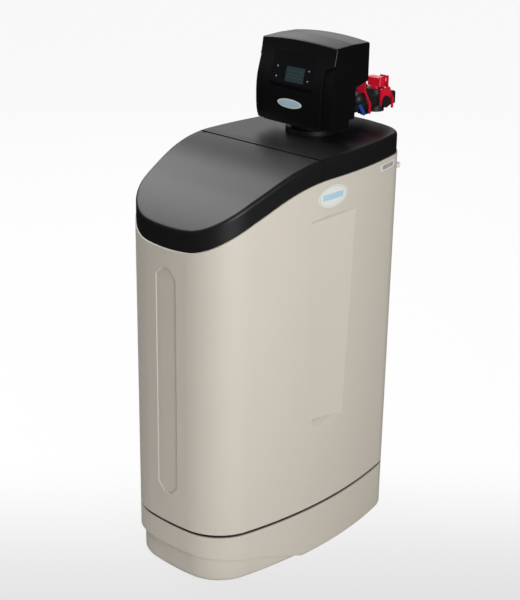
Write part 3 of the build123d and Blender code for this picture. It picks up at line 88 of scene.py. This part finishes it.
def add_node(tree, kind, sockets=None, **settings):
    """Adds one node: settings are its properties, sockets its input values or what is linked to them."""
    made = tree.nodes.new(kind)
    for name, value in settings.items():
        setattr(made, name, value)
    for name, value in (sockets or {}).items():
        if isinstance(value, bpy.types.NodeSocket):
            tree.links.new(value, made.inputs[name])
        else:
            made.inputs[name].default_value = value
    return made


floor_mesh = bpy.data.meshes.new("floor")
signs = [(-1, -1), (1, -1), (1, 1), (-1, 1)]
floor_corners = [(x * floor_half_size, y * floor_half_size, 0) for x, y in signs]
floor_mesh.from_pydata(floor_corners, [], [(0, 1, 2, 3)])
floor = bpy.data.objects.new("floor", floor_mesh)
bpy.context.scene.collection.objects.link(floor)

floor_paint = bpy.data.materials.new("studio paper")
floor_paint.use_nodes = True
tree = floor_paint.node_tree
tree.nodes.clear()
place = add_node(tree, "ShaderNodeTexCoord")
away = add_node(
    tree,
    "ShaderNodeVectorMath",
    {0: place.outputs["Object"], 1: inward},
    operation="DOT_PRODUCT",
)
camera_line = inward.dot(camera_place)
fade = add_node(
    tree,
    "ShaderNodeMapRange",
    {
        "Value": away.outputs["Value"],
        "From Min": camera_line + fade_start,
        "From Max": camera_line + fade_end,
    },
    interpolation_type="SMOOTHSTEP",
)
paper = add_node(
    tree,
    "ShaderNodeMix",
    {0: fade.outputs["Result"], 6: linear(floor_near), 7: linear(floor_far)},
    data_type="RGBA",
)
seen = add_node(tree, "ShaderNodeLightPath")
looked_at = add_node(
    tree,
    "ShaderNodeMath",
    {0: seen.outputs["Is Camera Ray"], 1: seen.outputs["Is Transmission Ray"]},
    operation="MAXIMUM",
)
mirrored = add_node(
    tree,
    "ShaderNodeMix",
    {0: seen.outputs["Is Glossy Ray"], 6: paper.outputs[2], 7: linear(floor_mirrored)},
    data_type="RGBA",
)
own_light = add_node(
    tree,
    "ShaderNodeMath",
    {0: looked_at.outputs[0], 1: own_light_share},
    operation="MULTIPLY",
)
matt = add_node(tree, "ShaderNodeBsdfDiffuse", {"Color": mirrored.outputs[2]})
glow = add_node(tree, "ShaderNodeEmission", {"Color": paper.outputs[2], "Strength": 1.0})
paper_look = add_node(
    tree,
    "ShaderNodeMixShader",
    {0: own_light.outputs[0], 1: matt.outputs[0], 2: glow.outputs[0]},
)
add_node(tree, "ShaderNodeOutputMaterial", {"Surface": paper_look.outputs[0]})
floor_mesh.materials.append(floor_paint)

world = bpy.data.worlds.new("white room")
bpy.context.scene.world = world
world.use_nodes = True
tree = world.node_tree
tree.nodes.clear()
seen = add_node(tree, "ShaderNodeLightPath")
unseen_level = add_node(
    tree,
    "ShaderNodeMapRange",
    {"Value": seen.outputs["Is Glossy Ray"], "To Min": room_level, "To Max": mirrored_level},
)
level = add_node(
    tree,
    "ShaderNodeMapRange",
    {"Value": seen.outputs["Is Camera Ray"], "To Min": unseen_level.outputs["Result"], "To Max": 1.0},
)
sky = add_node(
    tree,
    "ShaderNodeBackground",
    {"Color": linear("#FFFFFF"), "Strength": level.outputs["Result"]},
)
add_node(tree, "ShaderNodeOutputWorld", {"Surface": sky.outputs[0]})

# Lamps: three large soft boxes, all turned to the middle of the cabinet. The right one lights the
# wide side, the one over the lid gives the black cap its sheen, and a weak one lifts the rear.
lamp_target = Vector((0, 0, 0.55))
for name, lamp_place, lamp_size, watts in (
    ("softbox right", (2.5, -1.15, 1.35), (1.6, 2.2), 68.0),
    ("softbox over the lid", (-1.7, -0.2, 2.6), (2.0, 1.6), 62.0),
    ("softbox rear left", (-2.1, 2.2, 1.9), (2.2, 1.4), 13.0),
):
    lamp_data = bpy.data.lights.new(name, "AREA")
    lamp_data.shape = "RECTANGLE"
    lamp_data.size, lamp_data.size_y = lamp_size
    lamp_data.energy = watts
    lamp = bpy.data.objects.new(name, lamp_data)
    aim = Vector(lamp_place) - lamp_target
    facing = aim.to_track_quat("Z", "Y").to_matrix().to_4x4()
    lamp.matrix_world = Matrix.Translation(lamp_place) @ facing
    bpy.context.scene.collection.objects.link(lamp)

# Plinth and cabinet: two rotary moulded polyethylene shells in a warm beige, one standing on the
# other. Moulding against a blasted tool leaves a satin skin with a very fine orange peel and
# next to no change of tone.
metre_in_mm = 1000.0
tone_scale = 9.0
gloss_spread = 0.05
plastic_ior = 1.5


def moulded(name, code, roughness, grain_mm, grain_depth_mm, tone=0.06, coat=0.0, specular=0.5):
    """A moulded or printed surface: colour, gloss, pitch and depth of its grain, and change of tone."""
    made = bpy.data.materials.new(name)
    made.use_nodes = True
    tree = made.node_tree
    tree.nodes.clear()
    place = add_node(tree, "ShaderNodeTexCoord")
    slow = add_node(
        tree,
        "ShaderNodeTexNoise",
        {"Vector": place.outputs["Object"], "Scale": tone_scale, "Detail": 3.0, "Roughness": 0.5},
    )
    colour = linear(code)
    shade = add_node(
        tree,
        "ShaderNodeMix",
        {
            0: slow.outputs["Fac"],
            6: [c * (1 - tone) for c in colour[:3]] + [1],
            7: [min(1, c * (1 + tone)) for c in colour[:3]] + [1],
        },
        data_type="RGBA",
    )
    grain = add_node(
        tree,
        "ShaderNodeTexNoise",
        {
            "Vector": place.outputs["Object"],
            "Scale": metre_in_mm / grain_mm,
            "Detail": 2.0,
            "Roughness": 0.6,
        },
    )
    relief = add_node(
        tree,
        "ShaderNodeBump",
        {"Height": grain.outputs["Fac"], "Strength": 1.0, "Distance": grain_depth_mm / metre_in_mm},
    )
    gloss = add_node(
        tree,
        "ShaderNodeMapRange",
        {
            "Value": grain.outputs["Fac"],
            "To Min": roughness - gloss_spread,
            "To Max": roughness + gloss_spread,
        },
    )
    shader = add_node(
        tree,
        "ShaderNodeBsdfPrincipled",
        {
            "Base Color": shade.outputs[2],
            "Roughness": gloss.outputs["Result"],
            "Normal": relief.outputs["Normal"],
            "IOR": plastic_ior,
            "Coat Weight": coat,
            "Specular IOR Level": specular,
        },
    )
    add_node(tree, "ShaderNodeOutputMaterial", {"Surface": shader.outputs[0]})
    return made


def dress(finish, *names):
    """Gives CAD nodes their finish, in the slot they already have."""
    for name in names:
        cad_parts[name].data.materials.clear()
        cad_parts[name].data.materials.append(finish)


beige = moulded(
    "rotary moulded polyethylene", "#C6BFB3", roughness=0.46, grain_mm=1.6, grain_depth_mm=0.012, tone=0.02
)
dress(beige, "base_plinth", "cabinet_body")

# Strip between plinth and body: soft black PVC, extruded in one length and pressed into the
# joint all round. Its surface is dull.
strip_black = moulded("extruded soft PVC", "#1C1C1D", roughness=0.55, grain_mm=0.8, grain_depth_mm=0.01)
dress(strip_black, "base_trim")

# Lid, deck and neck collar: injection moulded black ABS. The tool is spark eroded, and its fine
# grain spreads the light into a broad grey sheen. The deck has one shallow groove, 0.8 mm wide,
# along its front edge; it is not cut into the shape, and a near black strip of painted shade lies there.
lid_black = moulded(
    "grained black ABS",
    "#161617",
    roughness=0.42,
    grain_mm=0.9,
    grain_depth_mm=0.02,
    tone=0.08,
    specular=0.35,
)
dress(lid_black, "salt_lid", "rear_deck", "neck_collar")
# Painted shade: the groove's shadow is a near black film, darker than the lid's own black, laid flat on the
# deck.
painted_groove_shade = moulded("shadowed groove in ABS", "#060606", roughness=0.6, grain_mm=0.9, grain_depth_mm=0.01)
groove_y = -0.015
groove_left = -0.146
groove_right = 0.150
groove_half_width = 0.0004
groove_steps = 40
film_lift = 0.00015
cast_room = 0.05


def surface_of(*names):
    """A search tree over the faces of CAD nodes, so that a thin piece can lie on them."""
    points, faces = [], []
    for node in names:
        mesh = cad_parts[node].data
        first = len(points)
        points += [vertex.co.copy() for vertex in mesh.vertices]
        faces += [[first + corner for corner in face.vertices] for face in mesh.polygons]
    return BVHTree.FromPolygons(points, faces)


def lay_on(name, finish, carrier, rows, cast, body, closed=False):
    """Lays a film on the carrier: every point of its rows drops along cast and stops just above."""
    cast = Vector(cast).normalized()
    places = []
    for row in rows:
        for point in row:
            hit = carrier.ray_cast(Vector(point) - cast * cast_room, cast)[0]
            places.append((hit if hit else Vector(point)) - cast * film_lift)
    wide = len(rows[0])
    faces = []
    for along in range(len(rows) - 1):
        for across in range(wide if closed else wide - 1):
            after = (across + 1) % wide
            one, two = along * wide, (along + 1) * wide
            faces.append((one + across, one + after, two + after, two + across))
    mesh = bpy.data.meshes.new(name)
    mesh.from_pydata(places, [], faces)
    mesh.update()
    if sum(face.normal.dot(cast) * face.area for face in mesh.polygons) > 0:
        mesh.flip_normals()
    mesh.materials.append(finish)
    piece = bpy.data.objects.new(name, mesh)
    bpy.context.scene.collection.objects.link(piece)
    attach(piece, body)
    return piece


deck_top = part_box("rear_deck")[1][2]
groove_shade_rows = [
    [
        (groove_left + (groove_right - groove_left) * step / groove_steps, y, deck_top)
        for step in range(groove_steps + 1)
    ]
    for y in (groove_y - groove_half_width, groove_y + groove_half_width)
]
deck_face = surface_of("rear_deck")
lay_on("deck_groove_painted_shade", painted_groove_shade, deck_face, groove_shade_rows, (0, 0, -1), "cabinet")

# Oval label: printed vinyl film on the right side, glossy and stuck on flat. It keeps a thin
# green ring and a pale blue band and is bare otherwise.
film = moulded(
    "printed vinyl film", "#D9DBD6", roughness=0.3, grain_mm=1.2, grain_depth_mm=0.002, tone=0.01
)
dress(film, "side_label", "bar_label")
print_green = moulded(
    "green print on film", "#9CC49A", roughness=0.3, grain_mm=1.2, grain_depth_mm=0.001
)
print_blue = moulded(
    "pale blue print on film", "#A9C6DA", roughness=0.3, grain_mm=1.2, grain_depth_mm=0.001
)
ring_across_share = 0.93
ring_up_share = 0.9
ring_inner_share = 0.965
band_half_length = 0.029
band_half_height = 0.0058
band_steps = 24
to_the_left = Vector((-1, 0, 0))


def corners_of(node):
    """The lowest and highest corners of a CAD node at rest."""
    return [Vector(corner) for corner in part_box(node)]


def oval_rows(centre, across, up, half_across, half_up, inner_share, rings=4, steps=64):
    """Points of an oval ring, or of a whole oval where its inner share is near zero."""
    rows = []
    for ring in range(rings + 1):
        share = inner_share + (1 - inner_share) * ring / rings
        turns = [2 * math.pi * step / steps for step in range(steps)]
        rows.append(
            [
                centre
                + Vector(across) * (half_across * share * math.cos(turn))
                + Vector(up) * (half_up * share * math.sin(turn))
                for turn in turns
            ]
        )
    return rows


label_low, label_high = corners_of("side_label")
label_middle = (label_low + label_high) / 2
label_half = (label_high - label_low) / 2
label_face = surface_of("side_label")
ring_rows = oval_rows(
    label_middle,
    (0, 1, 0),
    (0, 0, 1),
    label_half.y * ring_across_share,
    label_half.z * ring_up_share,
    ring_inner_share,
    rings=1,
)
lay_on(
    "side_label_ring", print_green, label_face, ring_rows, to_the_left, "cabinet", closed=True
)
band_rows = [
    [
        label_middle + Vector((0, band_half_length * (2 * step / band_steps - 1), edge * band_half_height))
        for step in range(band_steps + 1)
    ]
    for edge in (-1, 1)
]
lay_on("side_label_band", print_blue, label_face, band_rows, to_the_left, "cabinet")

# Bar label: a small slip of the same film near the rear corner, just under the deck. A row of
# plain dark bars is printed on it.
print_grey = moulded("grey print on film", "#3C3D42", roughness=0.4, grain_mm=1.2, grain_depth_mm=0.001)
bar_count = 9
bar_start_share = 0.16
bar_room_share = 0.68
bar_size = (0.0005, 0.0021, 0.0085)


def repeat_on(name, finish, spots, size, turn, body, is_round=False):
    """One small bar or disc on every spot, made by Geometry Nodes and kept as one plain mesh."""
    group = bpy.data.node_groups.new(name, "GeometryNodeTree")
    group.interface.new_socket(name="Spots", in_out="INPUT", socket_type="NodeSocketGeometry")
    size_input = group.interface.new_socket(name="Size", in_out="INPUT", socket_type="NodeSocketVector")
    turn_input = group.interface.new_socket(name="Turn", in_out="INPUT", socket_type="NodeSocketVector")
    group.interface.new_socket(name="Pieces", in_out="OUTPUT", socket_type="NodeSocketGeometry")
    given = add_node(group, "NodeGroupInput")
    if is_round:
        parts = add_node(group, "ShaderNodeSeparateXYZ", {0: given.outputs["Size"]})
        one = add_node(
            group,
            "GeometryNodeMeshCylinder",
            {"Vertices": 24, "Radius": parts.outputs["X"], "Depth": parts.outputs["Z"]},
        )
    else:
        one = add_node(group, "GeometryNodeMeshCube", {"Size": given.outputs["Size"]})
    put = add_node(
        group,
        "GeometryNodeInstanceOnPoints",
        {
            "Points": given.outputs["Spots"],
            "Instance": one.outputs["Mesh"],
            "Rotation": given.outputs["Turn"],
        },
    )
    solid = add_node(group, "GeometryNodeRealizeInstances", {"Geometry": put.outputs["Instances"]})
    painted = add_node(
        group,
        "GeometryNodeSetMaterial",
        {"Geometry": solid.outputs["Geometry"], "Material": finish},
    )
    add_node(group, "NodeGroupOutput", {"Pieces": painted.outputs["Geometry"]})
    cloud = bpy.data.meshes.new(name + "_spots")
    cloud.from_pydata([tuple(spot) for spot in spots], [], [])
    piece = bpy.data.objects.new(name, cloud)
    bpy.context.scene.collection.objects.link(piece)
    modifier = piece.modifiers.new("repeat", "NODES")
    modifier.node_group = group
    modifier[size_input.identifier] = size
    modifier[turn_input.identifier] = turn
    plain = bpy.data.meshes.new_from_object(piece.evaluated_get(bpy.context.evaluated_depsgraph_get()))
    piece.modifiers.clear()
    piece.data = plain
    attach(piece, body)
    return piece


bar_low, bar_high = corners_of("bar_label")
bar_face = surface_of("bar_label")
bar_spots = []
for bar in range(bar_count):
    share = bar_start_share + bar_room_share * bar / (bar_count - 1)
    bar_y = bar_low.y + (bar_high.y - bar_low.y) * share
    beside = Vector((bar_high.x + cast_room, bar_y, (bar_low.z + bar_high.z) / 2))
    hit = bar_face.ray_cast(beside, to_the_left)[0]
    if hit:
        bar_spots.append(hit)
bar_lean = math.atan2(bar_high.x - bar_low.x, bar_high.y - bar_low.y)
repeat_on("bar_label_bars", print_grey, bar_spots, bar_size, (0, 0, bar_lean), "cabinet")

# Head covers and cord gland: injection moulded black ABS, a little smoother and darker than the
# lid. Four pan head screws of blackened steel hold the rear cover from behind.
head_black = moulded(
    "black ABS of the head", "#0C0C0D", roughness=0.36, grain_mm=0.7, grain_depth_mm=0.012, specular=0.3
)
dress(head_black, "head_front_cover", "head_rear_cover", "inlet_gland")
screw_black = moulded("blackened steel", "#2B2B2E", roughness=0.35, grain_mm=0.6, grain_depth_mm=0.003)
screw_black.node_tree.nodes["Principled BSDF"].inputs["Metallic"].default_value = 1.0
screw_radius = 0.0034
screw_height = 0.0016
screw_places = ((0.062, 0.992), (0.074, 0.905))
facing_back = (math.pi / 2, 0, 0)
rear_cover = surface_of("head_rear_cover")
rear_low, rear_high = corners_of("head_rear_cover")
screw_spots = []
for side in (-1, 1):
    for x, z in screw_places:
        hit = rear_cover.ray_cast(Vector((side * x, rear_high.y + cast_room, z)), Vector((0, -1, 0)))[0]
        if hit:
            screw_spots.append(hit)
screw_size = (screw_radius, screw_radius, screw_height)
repeat_on(
    "cover_screws", screw_black, screw_spots, screw_size, facing_back, "cabinet", is_round=True
)

# Display: a polished black acrylic lens round a grey-green liquid crystal panel. The panel shows
# three plain rows of segments.
lens_black = moulded(
    "polished black acrylic",
    "#0B0C10",
    roughness=0.08,
    grain_mm=2.0,
    grain_depth_mm=0.0005,
    tone=0.02,
    coat=0.5,
)
dress(lens_black, "display_window")
glass_green = moulded(
    "display glass", "#2C393B", roughness=0.16, grain_mm=2.0, grain_depth_mm=0.0005, tone=0.05
)
dress(glass_green, "lcd_panel")
segment_grey = moulded(
    "liquid crystal segments", "#475457", roughness=0.2, grain_mm=2.0, grain_depth_mm=0.0005
)
segment_row_shares = (0.3, 0.5, 0.72)
segment_columns = 12
segment_start_share = 0.12
segment_room_share = 0.76
segment_size = (0.0024, 0.0003, 0.0012)
inwards = Vector((0, 1, 0))
lcd_low, lcd_high = corners_of("lcd_panel")
lcd_face = surface_of("lcd_panel")
segment_spots = []
for row_share in segment_row_shares:
    for column in range(segment_columns):
        share = segment_start_share + segment_room_share * column / (segment_columns - 1)
        x = lcd_low.x + (lcd_high.x - lcd_low.x) * share
        z = lcd_low.z + (lcd_high.z - lcd_low.z) * row_share
        hit = lcd_face.ray_cast(Vector((x, lcd_low.y - cast_room, z)), inwards)[0]
        if hit:
            segment_spots.append(hit)
repeat_on("lcd_segments", segment_grey, segment_spots, segment_size, (0, 0, 0), "cabinet")

# Keys: four satin black caps beside the panel. Each has a pad printed white dot, which moves
# with its key.
key_black = moulded("key caps", "#15161B", roughness=0.25, grain_mm=0.6, grain_depth_mm=0.002)
dot_white = moulded("white pad print", "#C9D3E0", roughness=0.4, grain_mm=0.8, grain_depth_mm=0.001)
dot_size = (0.0013, 0.0013, 0.0003)
for side in ("left", "right"):
    for height in ("high", "low"):
        key = f"button_{side}_{height}"
        dress(key_black, key)
        low, high = corners_of(key)
        middle = (low + high) / 2
        hit = surface_of(key).ray_cast(Vector((middle.x, low.y - cast_room, middle.z)), inwards)[0]
        spot = hit if hit else Vector((middle.x, low.y, middle.z))
        repeat_on(
            f"key_dot_{side}_{height}",
            dot_white,
            [spot],
            dot_size,
            facing_back,
            f"key_{side}_{height}",
            is_round=True,
        )

# Badge under the display: a moulded oval plate on the front cover. It is printed pale blue
# inside a white rim and is bare otherwise.
rim_white = moulded(
    "white print on the badge", "#D3D8CC", roughness=0.3, grain_mm=1.2, grain_depth_mm=0.002, tone=0.01
)
dress(rim_white, "front_badge")
field_across_share = 0.86
field_up_share = 0.74
field_inner_share = 0.02
badge_low, badge_high = corners_of("front_badge")
badge_half = (badge_high - badge_low) / 2
field_rows = oval_rows(
    (badge_low + badge_high) / 2,
    (1, 0, 0),
    (0, 0, 1),
    badge_half.x * field_across_share,
    badge_half.z * field_up_share,
    field_inner_share,
)
badge_face = surface_of("front_badge")
lay_on(
    "front_badge_field", print_blue, badge_face, field_rows, inwards, "cabinet", closed=True
)

# Valve and bypass: injection moulded glass filled polyphenylene. The glass leaves it dull black
# with flow marks.
filled_black = moulded(
    "glass filled valve plastic", "#1A1A1B", roughness=0.5, grain_mm=0.9, grain_depth_mm=0.03, tone=0.15
)
dress(filled_black, "valve_body", "boss_cap", "drive_bracket", "union_nuts")
dress(filled_black, "bypass_body", "outlet_adapter", "inlet_adapter", "outlet_rotor", "inlet_rotor")

# Levers and clips: injection moulded red acetal, glossy and even. The levers turn with the
# rotors, and the clips sit over the joints. The small strap tag is blue nylon.
acetal_red = moulded("red acetal", "#D3122F", roughness=0.28, grain_mm=1.0, grain_depth_mm=0.006, tone=0.05)
dress(acetal_red, "outlet_lever", "inlet_lever", "port_clips", "pipe_clips", "side_clips")
nylon_blue = moulded("blue nylon strap", "#1A47A8", roughness=0.35, grain_mm=1.0, grain_depth_mm=0.004)
dress(nylon_blue, "port_tag")

# Overflow and brine side: white polypropylene mouldings, satin. Only the overflow's spigot shows,
# and the others stand in the salt space.
white = moulded(
    "white polypropylene", "#DAD9D4", roughness=0.35, grain_mm=1.2, grain_depth_mm=0.006, tone=0.02
)
dress(white, "overflow_spigot", "overflow_nut", "salt_grid", "riser_tube", "lower_basket")
dress(white, "brine_well", "brine_well_cap", "float_valve", "brine_float", "brine_line")

# Resin tank: a filament wound glass fibre vessel over a liner, in a moulded rubber boot, filled
# with amber resin beads.
glass_fibre = moulded("wound glass fibre", "#5C6B78", roughness=0.4, grain_mm=3.0, grain_depth_mm=0.05)
dress(glass_fibre, "resin_tank")
boot_black = moulded("moulded rubber boot", "#1A1A1A", roughness=0.7, grain_mm=1.5, grain_depth_mm=0.02)
dress(boot_black, "tank_boot")
bead_amber = moulded("resin beads", "#8A5620", roughness=0.4, grain_mm=0.7, grain_depth_mm=0.2)
dress(bead_amber, "resin_bed")

# Inside the head: gears and piston of natural acetal, nitrile rubber seals, and a glass fibre
# circuit board under green solder mask. The motor's can and the lid's hinge pins are steel with
# a thin coat of zinc.
acetal_natural = moulded("natural acetal", "#D8D4C8", roughness=0.35, grain_mm=1.0, grain_depth_mm=0.004)
dress(acetal_natural, "drive_gear", "motor_pinion", "piston")
nitrile_black = moulded("nitrile rubber", "#161616", roughness=0.6, grain_mm=0.8, grain_depth_mm=0.01)
dress(nitrile_black, "seal_stack")
board_green = moulded("solder mask", "#14502F", roughness=0.4, grain_mm=1.0, grain_depth_mm=0.01)
dress(board_green, "circuit_board")
zinc_grey = moulded("zinc plated steel", "#A5A7AA", roughness=0.3, grain_mm=0.8, grain_depth_mm=0.004)
zinc_grey.node_tree.nodes["Principled BSDF"].inputs["Metallic"].default_value = 1.0
dress(zinc_grey, "drive_motor", "lid_hinge_pins")
